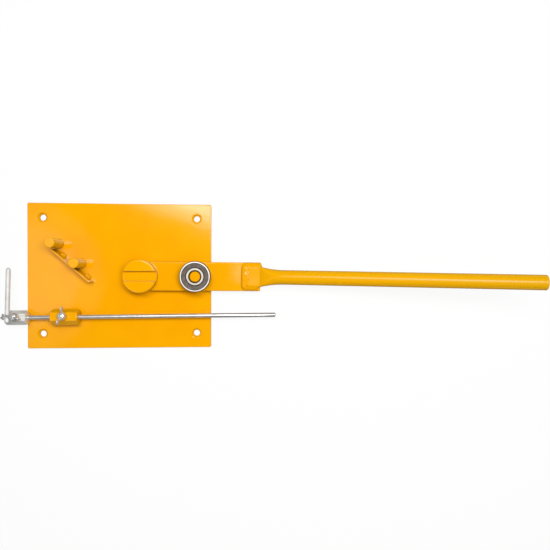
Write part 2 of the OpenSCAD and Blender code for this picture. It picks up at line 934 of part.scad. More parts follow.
module handle_cap() {
    rim = handle_diameter / 2;
    spigot = rim - handle_wall - seat_clearance;
    color(paint)
        on_handle()
            translate([taper_length + tube_length, 0, 0])
                rotate([0, 90, 0])
                    rotate_extrude()
                        polygon(concat(
                            [[0, -cap_spigot], [spigot - spigot_chamfer, -cap_spigot],
                             [spigot, spigot_chamfer - cap_spigot], [spigot, 0], [rim, 0]],
                            arc([rim - cap_edge_radius, cap_length - cap_edge_radius],
                                cap_edge_radius, 0, 90, edge_steps),
                            [[0, cap_length]]));
}

// Bead round three sides of the flattened end: a low hill with the flattened tube cut out of it
module handle_weld() {
    half = flat_width / 2 - bead_reach_in;
    side_slope = bead_slope(bead_reach_in + pad_weld_leg);
    end_slope = bead_slope(handle_end_weld_leg);
    toe = handle_end_weld_leg + past;
    color(weld_paint)
        at_bend()
            translate([0, 0, arm_top])
                difference() {
                    intersection() {
                        translate([pad_start - toe, 0, 0])
                            rotate([90, 0, 90])
                                linear_extrude(handle_lap + toe)
                                    polygon(concat([for (p = side_slope) [half + p[0], p[1]]],
                                                   [for (i = [len(side_slope) - 1:-1:0])
                                                       [-half - side_slope[i][0], side_slope[i][1]]]));
                        translate([0, arm_width / 2, 0])
                            rotate([90, 0, 0])
                                linear_extrude(arm_width)
                                    polygon(concat([[0, 0], [0, bead_height]],
                                                   [for (p = end_slope) [pad_start - p[0], p[1]]]));
                    }
                    translate([pad_start - seat_clearance, -half, -past])
                        cube([handle_lap, 2 * half, flat_thickness + 2 * past]);
                    for (side = [-1, 1])
                        translate([pad_start - seat_clearance,
                                   side * (flat_width - flat_thickness) / 2, flat_thickness / 2])
                            rotate([0, 90, 0])
                                cylinder(d = flat_thickness + 2 * seat_clearance, h = handle_lap);
                }
}

// The rounded outer slope of that bead, from its top down to the arm
function bead_slope(reach) = [for (p = bead_profile) [p[0] * reach, p[1] * bead_height]];

base_plate();
pivot_mandrel();
pivot_weld();
thrust_washer();
outer_pin();
inner_pin();
pin_welds();
wire_rib();
rib_welds();
rod_holder();
holder_welds();
holder_wing_screw();
gauge_rod();
stop_sleeve();
stop_finger();
finger_welds();
stop_wing_screw();
lever_arm();
roller_pin();
roller_pin_weld();
roller_spacer();
bearing_inner_ring();
bearing_outer_ring();
upper_seal();
lower_seal();
bearing_balls();
bearing_cage();
handle_tube();
handle_cap();
handle_weld();
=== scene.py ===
"""Looks of the hand wire bender: camera, studio, materials, and the pieces that need rounder or finer
shapes than their solids. Sizes named here are millimetres unless a comment says otherwise."""

import math

import bmesh
import bpy
from mathutils import Matrix, Vector, noise


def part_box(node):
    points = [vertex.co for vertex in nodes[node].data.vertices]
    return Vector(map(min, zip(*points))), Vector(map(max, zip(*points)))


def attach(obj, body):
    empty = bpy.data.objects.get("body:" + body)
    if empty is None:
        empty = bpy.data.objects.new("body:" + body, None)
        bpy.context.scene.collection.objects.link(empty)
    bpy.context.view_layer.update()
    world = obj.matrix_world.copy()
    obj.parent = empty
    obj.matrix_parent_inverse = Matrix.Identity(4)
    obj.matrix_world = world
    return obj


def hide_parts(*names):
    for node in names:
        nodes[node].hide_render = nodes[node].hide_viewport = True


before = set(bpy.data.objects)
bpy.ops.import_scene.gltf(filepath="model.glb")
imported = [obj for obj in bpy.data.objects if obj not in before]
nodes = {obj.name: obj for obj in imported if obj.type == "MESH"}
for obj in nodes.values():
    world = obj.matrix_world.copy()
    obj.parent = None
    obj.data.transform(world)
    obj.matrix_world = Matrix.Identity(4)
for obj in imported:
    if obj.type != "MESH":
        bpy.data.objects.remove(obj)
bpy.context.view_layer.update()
MM = 0.001


def low(node):
    """Lowest corner of a CAD node, in millimetres."""
    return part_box(node)[0] / MM


def high(node):
    """Highest corner of a CAD node, in millimetres."""
    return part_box(node)[1] / MM


def middle(node):
    """Middle of a CAD node's box, in millimetres."""
    return (low(node) + high(node)) / 2


# Places that the model's nodes give
PLATE_TOP = high("base_plate").z
PIVOT = middle("pivot_mandrel")
ROLLER = middle("bearing_outer_ring")
ARM_TOP = high("lever_arm").z
LEVER_ANGLE = math.atan2(ROLLER.y - PIVOT.y, ROLLER.x - PIVOT.x)
ON_LEVER = Matrix.Translation((PIVOT.x, PIVOT.y, 0)) @ Matrix.Rotation(LEVER_ANGLE, 4, "Z")
IN_PLACE = Matrix.Identity(4)

# Places on the gauge rod, with X along it. The sleeves are turned about the rod.
GAUGE_TURN = math.radians(0.45)
HOLDER_ROLL = math.radians(10)
STOP_ROLL = math.radians(8)


def on_rod(sleeve, roll, distance=0.0):
    """A place on the rod's axis, at a distance from the middle of a sleeve and rolled with it."""
    return (Matrix.Translation(middle(sleeve)) @ Matrix.Rotation(GAUGE_TURN, 4, "Z")
            @ Matrix.Translation((distance, 0, 0)) @ Matrix.Rotation(-roll, 4, "X"))


# Camera

CAMERA_PLACE = Vector((163.56, 12.38, 712.69))
# Turn from looking straight down, as an axis times an angle in radians
CAMERA_TURN = Vector((-0.01508, -0.07252, 0.00296))
FOCAL_PIXELS = 500
IMAGE_PIXELS = 550
SENSOR_WIDTH = 36


def make_camera():
    data = bpy.data.cameras.new("camera")
    data.sensor_width = SENSOR_WIDTH
    data.lens = SENSOR_WIDTH * FOCAL_PIXELS / IMAGE_PIXELS
    data.clip_start = 0.01
    camera = bpy.data.objects.new("camera", data)
    camera.matrix_world = (Matrix.Translation(CAMERA_PLACE * MM)
                           @ Matrix.Rotation(CAMERA_TURN.length, 4, CAMERA_TURN))
    bpy.context.scene.collection.objects.link(camera)
    bpy.context.scene.camera = camera


# Shader graphs

BEVEL_SAMPLES = 6
CORNER_SAMPLES = 8
# Cosines of the turn of a rounded normal where an edge starts and where it is full
EDGE_TURN = (0.995, 0.9)


class Shader:
    """A material's node graph, with the few calls that the materials need."""

    def __init__(self, material):
        self.material = material
        self.material.use_nodes = True
        self.tree = self.material.node_tree
        self.surface = self.tree.nodes["Principled BSDF"]
        self.output = self.tree.nodes["Material Output"]

    @classmethod
    def new(cls, name):
        return cls(bpy.data.materials.new(name))

    def set(self, node, inputs):
        for key, value in inputs.items():
            if isinstance(value, bpy.types.NodeSocket):
                self.tree.links.new(value, node.inputs[key])
            else:
                node.inputs[key].default_value = value
        return node

    def add(self, kind, inputs=None, **settings):
        node = self.tree.nodes.new("ShaderNode" + kind)
        for key, value in settings.items():
            setattr(node, key, value)
        return self.set(node, inputs or {})

    def place(self, scale=(1, 1, 1)):
        """The piece's own coordinates in metres, stretched by scale."""
        coordinates = self.add("TexCoord").outputs["Object"]
        return self.add("Mapping", {"Vector": coordinates, "Scale": scale}).outputs["Vector"]

    def noise(self, vector, scale, detail=2.0, roughness=0.5):
        inputs = {"Vector": vector, "Scale": scale, "Detail": detail, "Roughness": roughness}
        return self.add("TexNoise", inputs).outputs["Fac"]

    def ramp(self, value, start, end, to_start=0.0, to_end=1.0):
        inputs = {"Value": value, "From Min": start, "From Max": end,
                  "To Min": to_start, "To Max": to_end}
        return self.add("MapRange", inputs).outputs["Result"]

    def math(self, operation, first, second):
        return self.add("Math", {0: first, 1: second}, operation=operation).outputs[0]

    def mix(self, share, first, second):
        """Colour that goes from the first to the second as share goes from 0 to 1."""
        node = self.add("Mix", data_type="RGBA")
        self.set(node, {0: share, 6: first, 7: second})
        return node.outputs[2]

    def bump(self, height, distance, strength=1.0, below=None):
        """Surface normal for a height from 0 to 1 that stands for distance in millimetres."""
        inputs = {"Height": height, "Distance": distance * MM, "Strength": strength}
        if below is not None:
            inputs["Normal"] = below
        return self.add("Bump", inputs).outputs["Normal"]

    def rounded(self, radius):
        """Surface normal as if every sharp edge had a radius."""
        return self.add("Bevel", {"Radius": radius * MM}, samples=BEVEL_SAMPLES).outputs["Normal"]

    def edges(self, rounded):
        """0 on flat stretches, rising to 1 where a rounded normal leaves the true one."""
        true = self.add("NewGeometry").outputs["True Normal"]
        dot = self.add("VectorMath", {0: rounded, 1: true}, operation="DOT_PRODUCT").outputs["Value"]
        return self.ramp(dot, *EDGE_TURN)

    def corners(self, reach):
        """1 in the open, falling towards 0 in corners whose walls stand within reach."""
        node = self.add("AmbientOcclusion", {"Distance": reach * MM}, samples=CORNER_SAMPLES)
        return node.outputs["AO"]

    def from_axis(self, axis):
        """Distance in metres from an upright axis."""
        coordinates = self.add("TexCoord").outputs["Object"]
        flat = self.add("VectorMath", {0: coordinates, 1: (1, 1, 0)}, operation="MULTIPLY").outputs[0]
        centre = (axis.x * MM, axis.y * MM, 0)
        return self.add("VectorMath", {0: flat, 1: centre}, operation="DISTANCE").outputs["Value"]


def srgb(red, green, blue):
    """A colour written in 0 to 255 display values, as the linear colour that shaders take."""
    def linear(value):
        share = value / 255
        return share / 12.92 if share <= 0.04045 else ((share + 0.055) / 1.055) ** 2.4
    return (linear(red), linear(green), linear(blue), 1.0)


# Materials

PAINT = srgb(244, 168, 0)
PAINT_DEEP = srgb(240, 162, 0)
PAINT_EDGE = srgb(250, 192, 60)
# Painted shade of side faces: darker paint where a face stands upright, on the plate and on the posts
UPRIGHT_PAINTED_SHADE = srgb(216, 158, 0)
POST_UPRIGHT_PAINTED_SHADE = srgb(220, 172, 0)
WELD_SHADE = srgb(238, 160, 0)
# The handle's paint, a little darker than the plate's
PAINT_OF_HANDLE = srgb(231, 163, 0)
# Painted shade at the handle's far end
GRIP_END_PAINTED_SHADE = srgb(214, 157, 0)
# Dark olive of the painted shade in corners, which stands also for grime
GRIME_AND_SHADE_COLOUR = srgb(84, 62, 6)
WORN_STEEL = srgb(150, 146, 138)
ZINC_PALE = srgb(240, 240, 236)
ZINC_DULL = srgb(218, 219, 216)
CAST_PALE = srgb(224, 225, 223)
CAST_DULL = srgb(192, 193, 191)
FINGER_PALE = srgb(228, 229, 228)
FINGER_DULL = srgb(208, 210, 209)
ROD_BRIGHT = srgb(232, 232, 229)
ROD_DULL = srgb(208, 208, 205)
RING_BRIGHT = srgb(224, 218, 212)
RING_DULL = srgb(200, 194, 188)
INNER_PALE = srgb(206, 199, 188)
INNER_DULL = srgb(176, 168, 156)
STEEL_PALE = srgb(176, 178, 182)
STEEL_DARK = srgb(138, 140, 146)
RUBBER_PALE = srgb(100, 90, 80)
RUBBER_DARK = srgb(80, 71, 63)
# Painted shade on the rings' chamfers, standing also for old oil
OIL_AND_SHADE_COLOUR = srgb(74, 62, 50)
# Painted shade of the seal's grooves
GROOVE_PAINTED_SHADE = srgb(40, 36, 34)


# Patterns of the enamel, in repeats per metre, and the share of a speckle that shows
BLOTCH_SCALE = 16
SPECKLE_SCALE = 700
SPECKLE_SHARE = 0.12
PATCH_SCALE = 180
PEEL_SCALE = 340
WAVE_SCALE = 60
SMEAR_SCALE = (9, 40, 40)
# Upward parts of the normal where the painted shade of upright faces starts, and where it is full
UPRIGHT_TURN = (0.9, 0.4)
# Least and greatest share of the pale paint on edges
EDGE_SHARE = (0.1, 0.4)
# Level of the patches over which worn edges show the steel
WORN_LEVEL = (0.62, 0.68)

# Gloss of the enamel and the radius that it gives to edges
PAINT_SPECULAR = 0.35
PAINT_ROUGHNESS = (0.07, 0.1)
HANDLED_ROUGHNESS = (0.2, 0.25)
PAINT_RADIUS = 1.2
HANDLED_RADIUS = 0.3
# Painted shade in the corners, which stands also for grime there: how far it reaches out of them, how open
# a place is where it starts and where it is full, and how much of the paint it then hides
GRIME_AND_SHADE_OF_PLATE = (3.5, 0.72, 0.2, 0.55)
GRIME_AND_SHADE_OF_POSTS = (9, 0.55, 0.2, 0.85)
GRIME_AND_SHADE_OF_TACKS = (3, 0.4, 0.1, 0.6)


def painted_steel(name, base=PAINT, deep=PAINT_DEEP, upright_shade=UPRIGHT_PAINTED_SHADE, peel=0.018, radius=PAINT_RADIUS,
                  worn=0.0, roughness=PAINT_ROUGHNESS, grime_and_shade=GRIME_AND_SHADE_OF_PLATE, relief=None):
    """Sprayed enamel: faint blotches, orange peel, painted shade on side faces and corners, and paler paint
    on the edges. A worn share of the edges shows the steel, and relief is a function that adds to the
    finished bump."""
    shader = Shader.new(name)
    place = shader.place()
    blotches = shader.ramp(shader.noise(place, BLOTCH_SCALE, 4), 0.4, 0.66)
    colour = shader.mix(blotches, base, deep)
    speckle = shader.ramp(shader.noise(place, SPECKLE_SCALE, 2), 0.62, 0.72, 0, SPECKLE_SHARE)
    colour = shader.mix(speckle, colour, deep)
    normal = shader.add("NewGeometry").outputs["Normal"]
    facing = shader.add("SeparateXYZ", {"Vector": normal}).outputs["Z"]
    # Painted shade: paint on side faces turns darker
    colour = shader.mix(shader.ramp(facing, *UPRIGHT_TURN), colour, upright_shade)
    rounded = shader.rounded(radius)
    edge = shader.edges(rounded)
    patches = shader.noise(place, PATCH_SCALE, 3)
    pale_edge_share = shader.math("MULTIPLY", edge, shader.ramp(patches, 0.3, 0.6, *EDGE_SHARE))
    colour = shader.mix(pale_edge_share, colour, PAINT_EDGE)
    if worn:
        bare = shader.math("MULTIPLY", edge, shader.ramp(patches, *(level - worn for level in WORN_LEVEL)))
        colour = shader.mix(bare, colour, WORN_STEEL)
    # Painted shade in corners that the occlusion finds within reach, standing also for grime
    reach, open_start, open_full, most = grime_and_shade
    nook = shader.ramp(shader.corners(reach), open_start, open_full, 0, most)
    grimy_and_shaded = shader.math("MULTIPLY", nook, shader.ramp(patches, 0.2, 0.6, 0.7, 1))
    colour = shader.mix(grimy_and_shaded, colour, GRIME_AND_SHADE_COLOUR)
    smears = shader.noise(shader.place(SMEAR_SCALE), 1, 4)
    normal = shader.bump(shader.noise(place, PEEL_SCALE, 2), peel, below=rounded)
    normal = shader.bump(shader.noise(place, WAVE_SCALE, 2), 3 * peel, below=normal)
    shader.set(shader.surface, {"Base Color": colour, "Specular IOR Level": PAINT_SPECULAR,
                                "Roughness": shader.ramp(smears, 0.3, 0.7, *roughness)})
    if relief:
        normal = relief(shader, normal)
    shader.set(shader.surface, {"Normal": normal})
    return shader.material


# Lumps and pinholes of a painted weld: repeats per metre and depth
LUMP_SCALE = 420
LUMP_DEPTH = 0.14
PINHOLE_SCALE = 1500
PINHOLE_DEPTH = 0.03


def weld_ripples(shader, normal):
    """Soft lumps and pinholes of a painted weld."""
    place = shader.place()
    lumps = shader.bump(shader.noise(place, LUMP_SCALE, 3), LUMP_DEPTH, below=normal)
    return shader.bump(shader.noise(place, PINHOLE_SCALE, 2), PINHOLE_DEPTH, below=lumps)


# The patch of the arm that was ground beside the handle's weld, along and across the lever
PATCH_FROM = 118
PATCH_TO = 138
PATCH_MIDDLE = 4
PATCH_HALF = 17
# How ragged its ends are, how far past its end it fades out, and the roughness of its paint
PATCH_RAGGED = 6
PATCH_FADE = (8, 2)
PATCH_ROUGHNESS = 0.5
RAGGED_SCALE = 140
STROKE_SCALE = (90, 900, 1)
STROKE_DEPTH = 0.08


def ground_patch(shader, normal):
    """Grinder's strokes under the paint of the arm, and the duller paint over them."""
    on_lever = {"Vector": shader.add("TexCoord").outputs["Object"],
                "Location": (PIVOT.x * MM, PIVOT.y * MM, 0), "Rotation": (0, 0, LEVER_ANGLE)}
    lever = shader.add("Mapping", on_lever, vector_type="TEXTURE").outputs["Vector"]
    parts = shader.add("SeparateXYZ", {"Vector": lever}).outputs
    cloud = shader.noise(lever, RAGGED_SCALE, 3)
    shift = shader.ramp(cloud, 0.3, 0.7, -PATCH_RAGGED * MM, PATCH_RAGGED * MM)
    along = shader.math("ADD", parts["X"], shift)
    inside = shader.math("MULTIPLY", shader.ramp(along, PATCH_FROM * MM, PATCH_TO * MM),
                         shader.ramp(along, *((PATCH_TO + fade) * MM for fade in PATCH_FADE)))
    off = shader.math("ABSOLUTE", shader.math("SUBTRACT", parts["Y"], PATCH_MIDDLE * MM), 0)
    patch = shader.math("MULTIPLY", inside, shader.ramp(off, PATCH_HALF * MM, 0.4 * PATCH_HALF * MM))
    lines = shader.add("Mapping", {"Vector": lever, "Scale": STROKE_SCALE}).outputs["Vector"]
    strokes = shader.noise(lines, 1, 2)
    dull = shader.math("MULTIPLY", patch, shader.ramp(strokes, 0.35, 0.6, 0.3, 1))
    glossy = shader.surface.inputs["Roughness"].links[0].from_socket
    rough = shader.add("Mix", {0: dull, 2: glossy, 3: PATCH_ROUGHNESS}).outputs[0]
    shader.set(shader.surface, {"Roughness": rough})
    return shader.bump(shader.math("MULTIPLY", strokes, patch), STROKE_DEPTH, below=normal)


# Stretch of the handle over which painted shade darkens the paint and hands have polished it, and its gloss
# there
GRIP_FROM = 200
GRIP_TO = 560
GRIP_SPECULAR = (0.13, 0.26)


def shade_and_polish_grip(shader, normal):
    """Painted shade that darkens the paint, and polish from hands that raises its gloss, more and more
    towards the handle's end.
    """
    along = shader.add("SeparateXYZ", {"Vector": shader.place()}).outputs["X"]
    plain_colour = shader.surface.inputs["Base Color"].links[0].from_socket
    share = shader.ramp(along, GRIP_FROM * MM, GRIP_TO * MM)
    # Painted shade: the paint darkens towards the handle's end, where less light falls
    shader.set(shader.surface, {"Base Color": shader.mix(share, plain_colour, GRIP_END_PAINTED_SHADE),
                                "Specular IOR Level": shader.ramp(share, 0, 1, *GRIP_SPECULAR)})
    return normal


# Clouds on bare metal, in repeats per metre
CLOUD_SCALE = 90


def metal(name, pale, dull, roughness, grain, depth, mirrored):
    """Bare or plated steel whose colour and gloss follow a grain, given as a function of the shader. It
    mirrors a share of the light, and its dulled skin scatters the rest."""
    shader = Shader.new(name)
    height = grain(shader)
    cloud = shader.noise(shader.place(), CLOUD_SCALE, 4)
    colour = shader.mix(shader.ramp(cloud, 0.35, 0.7), pale, dull)
    gloss = shader.ramp(height, 0.3, 0.7, roughness - 0.05, roughness + 0.07)
    shader.set(shader.surface, {"Base Color": colour, "Metallic": mirrored, "Roughness": gloss,
                                "Normal": shader.bump(height, depth)})
    return shader.material


RING_ROUGHNESS = 0.48
RING_DEPTH = 0.002
RING_MIRRORED = 0.75
# Bright faces of the bearing's rings, as radii; on their chamfers painted shade stands also for old oil
INNER_BRIGHT = (9.2, 11.2)
OUTER_BRIGHT = (18.8, 20.1)
OIL_AND_SHADE_FADE = 0.4


def bearing_ring(name, pale, dull, bright):
    """A ground ring whose chamfers are darkened by painted shade, which stands also for old lubricant on
    them.
    """
    material = metal(name, pale, dull, RING_ROUGHNESS, ring_grain, RING_DEPTH, RING_MIRRORED)
    shader = Shader(material)
    plain_colour = shader.surface.inputs["Base Color"].links[0].from_socket
    radius = shader.from_axis(ROLLER)
    # Painted shade on the chamfers inside and outside the bright faces, standing also for old oil
    inside = shader.ramp(radius, (bright[0] - OIL_AND_SHADE_FADE) * MM, bright[0] * MM, 1, 0)
    outside = shader.ramp(radius, bright[1] * MM, (bright[1] + OIL_AND_SHADE_FADE) * MM)
    oil_and_shade = shader.math("MAXIMUM", inside, outside)
    shader.set(shader.surface, {"Base Color": shader.mix(oil_and_shade, plain_colour, OIL_AND_SHADE_COLOUR)})
    return material


# Grains, in repeats per metre, along X, Y and Z where they are drawn out
CAST_SCALE = 520
DRAWN_SCALE = (6, 2600, 2600)
BRUSHED_SCALE = (1400, 60, 60)
RING_SCALE = 9000


def cast_grain(shader):
    return shader.noise(shader.place(), CAST_SCALE, 4, 0.6)


def drawn_grain(shader):
    """Fine lines along X, as on drawn bar."""
    return shader.noise(shader.place(DRAWN_SCALE), 1, 3)


def brushed_grain(shader):
    return shader.noise(shader.place(BRUSHED_SCALE), 1, 3)


def ring_grain(shader):
    """Grinding lines round the roller's axis."""
    radius = shader.math("MULTIPLY", shader.from_axis(ROLLER), RING_SCALE)
    return shader.add("TexNoise", {"W": radius, "Scale": 1, "Detail": 3},
                      noise_dimensions="1D").outputs["Fac"]


# Painted shade in the grooves beside the seal's rim and bore, as (radius, half width)
SEAL_GROOVES = ((18.3, 0.55), (12.3, 0.5))
SAND_SCALE = 2600
SAND_DEPTH = 0.05
SCUFF_SCALE = 260
RUBBER_ROUGHNESS = (0.42, 0.6)


def seal_rubber():
    """Moulded nitrile rubber: matt, with a fine sandy skin, paler scuffed crests and painted shade in the
    grooves by its rim and bore.
    """
    shader = Shader.new("moulded_seal_rubber")
    place = shader.place()
    sand = shader.noise(place, SAND_SCALE, 2)
    scuffs = shader.noise(place, SCUFF_SCALE, 4)
    colour = shader.mix(shader.ramp(scuffs, 0.35, 0.7), RUBBER_PALE, RUBBER_DARK)
    radius = shader.from_axis(ROLLER)
    # Painted shade along the grooves by the rim and bore
    for groove, width in SEAL_GROOVES:
        reach = {0: radius, 1: groove * MM, 2: width * MM}
        near = shader.add("Math", reach, operation="COMPARE").outputs[0]
        colour = shader.mix(near, colour, GROOVE_PAINTED_SHADE)
    shader.set(shader.surface, {"Base Color": colour, "Normal": shader.bump(sand, SAND_DEPTH),
                                "Roughness": shader.ramp(scuffs, 0.3, 0.7, *RUBBER_ROUGHNESS)})
    return shader.material


MATERIALS = {
    "yellow_paint": painted_steel("sprayed_enamel"),
    "weld_paint": painted_steel("enamel_on_weld", WELD_SHADE, peel=0.02, relief=weld_ripples),
    "zinc": metal("zinc_plate", ZINC_PALE, ZINC_DULL, roughness=0.42, grain=cast_grain, depth=0.02,
                  mirrored=0.4),
    "bright_rod": metal("drawn_bright_bar", ROD_BRIGHT, ROD_DULL, roughness=0.3, grain=drawn_grain,
                        depth=0.002, mirrored=0.75),
    "bearing_steel": metal("ground_bearing_steel", RING_BRIGHT, RING_DULL, RING_ROUGHNESS, ring_grain,
                           RING_DEPTH, RING_MIRRORED),
    "plain_steel": metal("plain_rolled_steel", STEEL_PALE, STEEL_DARK, roughness=0.4, grain=brushed_grain,
                         depth=0.02, mirrored=0.8),
    "seal_rubber": seal_rubber(),
}
NODE_MATERIALS = {
    "lever_arm": painted_steel("enamel_on_ground_arm", radius=2.4, relief=ground_patch),
    "pivot_mandrel": painted_steel("enamel_on_mandrel", worn=0.06),
    "wire_rib": painted_steel("enamel_on_rib", worn=0.06, grime_and_shade=GRIME_AND_SHADE_OF_POSTS),
    "rib_welds": painted_steel("enamel_on_tacks", WELD_SHADE, peel=0.02, grime_and_shade=GRIME_AND_SHADE_OF_TACKS,
                               relief=weld_ripples),
    "bearing_inner_ring": bearing_ring("shaded_oily_inner_ring", INNER_PALE, INNER_DULL, INNER_BRIGHT),
    "bearing_outer_ring": bearing_ring("shaded_oily_outer_ring", RING_BRIGHT, RING_DULL, OUTER_BRIGHT),
    "rod_holder": painted_steel("enamel_on_holder", grime_and_shade=GRIME_AND_SHADE_OF_POSTS),
    "stop_finger": metal("plated_finger", FINGER_PALE, FINGER_DULL, roughness=0.55, grain=cast_grain,
                         depth=0.01, mirrored=0.25),
}


POST_PAINT = painted_steel("enamel_on_posts", upright_shade=POST_UPRIGHT_PAINTED_SHADE, grime_and_shade=GRIME_AND_SHADE_OF_POSTS)
HANDLE_PAINT = painted_steel("enamel_on_handle", PAINT_OF_HANDLE, PAINT_OF_HANDLE, peel=0.008,
                             radius=HANDLED_RADIUS, roughness=HANDLED_ROUGHNESS, relief=shade_and_polish_grip)
CAST_ZINC = metal("cast_zinc", CAST_PALE, CAST_DULL, roughness=0.36, grain=cast_grain, depth=0.03,
                  mirrored=0.6)
for post in ("outer_pin", "inner_pin"):
    NODE_MATERIALS[post] = POST_PAINT
for screw in ("holder_wing_screw", "stop_wing_screw"):
    NODE_MATERIALS[screw] = CAST_ZINC
for grip in ("handle_tube", "handle_cap"):
    NODE_MATERIALS[grip] = HANDLE_PAINT


def dress_nodes():
    for name, node in nodes.items():
        for slot in node.material_slots:
            slot_name = slot.material.name.split(".")[0]
            slot.material = NODE_MATERIALS.get(name, MATERIALS[slot_name])


# Studio

CORNER_SIGNS = ((-1, -1), (1, -1), (1, 1), (-1, 1))
FLOOR_HALF = 6000
# Share of the floor's white that shadows leave alone
FLOOR_GLOW = 0.9
FLOOR_COLOUR = (0.86, 0.86, 0.86, 1)
FLOOR_ROUGHNESS = 0.9
WORLD_LEVEL = 0.25


def seen_directly(shader):
    """1 for rays from the camera, from a gloss or through glass, and 0 for the light itself."""
    rays = shader.add("LightPath").outputs
    shown = shader.math("MAXIMUM", rays["Is Camera Ray"], rays["Is Glossy Ray"])
    return shader.math("MAXIMUM", shown, rays["Is Transmission Ray"])


def make_floor():
    shader = Shader.new("studio_floor")
    shader.set(shader.surface, {"Base Color": FLOOR_COLOUR, "Roughness": FLOOR_ROUGHNESS})
    white = shader.add("Emission", {"Strength": 1.0})
    share = shader.math("MULTIPLY", seen_directly(shader), FLOOR_GLOW)
    both = shader.add("MixShader", {0: share, 1: shader.surface.outputs[0], 2: white.outputs[0]})
    shader.set(shader.output, {"Surface": both.outputs[0]})
    shader.material.cycles.emission_sampling = "NONE"
    corners = [(x * FLOOR_HALF * MM, y * FLOOR_HALF * MM, 0) for x, y in CORNER_SIGNS]
    floor = flat_mesh("studio_floor", corners, [(0, 1, 2, 3)], shader.material)


def flat_mesh(name, points, faces, material):
    mesh = bpy.data.meshes.new(name)
    mesh.from_pydata(points, [], faces)
    mesh.materials.append(material)
    made = bpy.data.objects.new(name, mesh)
    bpy.context.scene.collection.objects.link(made)
    return made


def make_world():
    world = bpy.data.worlds.new("studio_world")
    bpy.context.scene.world = world
    world.use_nodes = True
    tree = world.node_tree
    rays = tree.nodes.new("ShaderNodeLightPath").outputs
    shown = rays["Is Camera Ray"]
    for kind in ("Is Glossy Ray", "Is Transmission Ray"):
        either = tree.nodes.new("ShaderNodeMath")
        either.operation = "MAXIMUM"
        tree.links.new(shown, either.inputs[0])
        tree.links.new(rays[kind], either.inputs[1])
        shown = either.outputs[0]
    level = tree.nodes.new("ShaderNodeMapRange")
    level.inputs["To Min"].default_value = WORLD_LEVEL
    level.inputs["To Max"].default_value = 1.0
    tree.links.new(shown, level.inputs["Value"])
    background = tree.nodes["Background"]
    background.inputs["Color"].default_value = (1, 1, 1, 1)
    tree.links.new(level.outputs["Result"], background.inputs["Strength"])


def softbox(name, place, aim, size, radiance, spin=0.0, mirrored=True):
    """A lamp at place that faces aim, spun about its own axis. Radiance 1 is white. One that isn't mirrored
    leaves no glare."""
    lamp = bpy.data.lights.new(name, "AREA")
    lamp.shape = "RECTANGLE"
    lamp.size, lamp.size_y = size[0] * MM, size[1] * MM
    lamp.energy = 4 * radiance * lamp.size * lamp.size_y
    made = bpy.data.objects.new(name, lamp)
    heading = (Vector(aim) - Vector(place)).to_track_quat("-Z", "Y").to_matrix().to_4x4()
    made.matrix_world = (Matrix.Translation(Vector(place) * MM) @ heading
                         @ Matrix.Rotation(math.radians(spin), 4, "Z"))
    made.visible_camera = False
    made.visible_glossy = mirrored
    bpy.context.scene.collection.objects.link(made)


def gloss_card(name, points, faces, level):
    """A studio card that only gloss sees, so that metal and paint have something to mirror."""
    shader = Shader.new(name)
    glow = shader.add("Emission", {"Strength": level})
    shader.set(shader.output, {"Surface": glow.outputs[0]})
    shader.material.cycles.emission_sampling = "NONE"
    card = flat_mesh(name, [tuple(c * MM for c in p) for p in points], faces, shader.material)
    card.visible_camera = False
    card.visible_diffuse = False
    card.visible_transmission = False
    card.visible_shadow = False


STUDIO_SIDES = 48


def round_card(name, middle, size, level):
    """A level card with the outline of an ellipse."""
    points = [(middle[0] + size[0] / 2 * math.cos(math.tau * k / STUDIO_SIDES),
               middle[1] + size[1] / 2 * math.sin(math.tau * k / STUDIO_SIDES), middle[2])
              for k in range(STUDIO_SIDES)]
    gloss_card(name, points, [tuple(range(STUDIO_SIDES))], level)


def square_card(name, middle, size, level):
    """A level card with the outline of a rectangle."""
    points = [(middle[0] + x * size[0] / 2, middle[1] + y * size[1] / 2, middle[2])
              for x, y in CORNER_SIGNS]
    gloss_card(name, points, [(0, 1, 2, 3)], level)


TENT_LEVEL = 0.02
CEILING_HEIGHT = 1700
WALL_RADIUS = 1900
WALL_LOW = 60


def make_tent():
    """Dark walls and a dark ceiling round the studio."""
    walls = [(WALL_RADIUS * math.cos(math.tau * k / STUDIO_SIDES),
              WALL_RADIUS * math.sin(math.tau * k / STUDIO_SIDES), z)
             for z in (WALL_LOW, CEILING_HEIGHT) for k in range(STUDIO_SIDES)]
    panels = [(k, (k + 1) % STUDIO_SIDES, STUDIO_SIDES + (k + 1) % STUDIO_SIDES, STUDIO_SIDES + k)
              for k in range(STUDIO_SIDES)]
    ceiling = tuple(range(STUDIO_SIDES, 2 * STUDIO_SIDES))
    gloss_card("dark_tent", walls, panels + [ceiling], TENT_LEVEL)


# Lamps: the key lies over the plate's far edge with a brighter core, and the other two fill in the shadows
LAMPS = (
    {"name": "key_softbox", "place": (235, 293, 1200), "aim": (235, 223, 0), "size": (1060, 390),
     "radiance": 3.6, "spin": -20},
    {"name": "key_core", "place": (297, 282, 1200), "aim": (297, 207, 0), "size": (990, 320),
     "radiance": 6.5, "spin": -20},
    {"name": "left_wall", "place": (-1600, 0, 550), "aim": (0, 0, 250), "size": (900, 700),
     "radiance": 1.8, "mirrored": False},
    {"name": "top_fill", "place": (600, -150, 1400), "aim": (400, -100, 0), "size": (1100, 900),
     "radiance": 0.9, "mirrored": False},
)
# Cards for the gloss: the dark table lies just over the floor under the whole bender, and the pale cards
# hang on the left, the core a little lower than its card so that it is seen first
ROUND_CARDS = (
    {"name": "dark_table", "middle": (220, 0, 0.4), "size": (1400, 1400), "level": 0.15},
    {"name": "left_card", "middle": (-680, -30, 1200), "size": (680, 600), "level": 0.5},
    {"name": "left_card_core", "middle": (-660, -20, 1190), "size": (480, 400), "level": 1.4},
)
ROD_CARD = {"name": "rod_card", "middle": (-600, -460, 1200), "size": (560, 260), "level": 1.6}


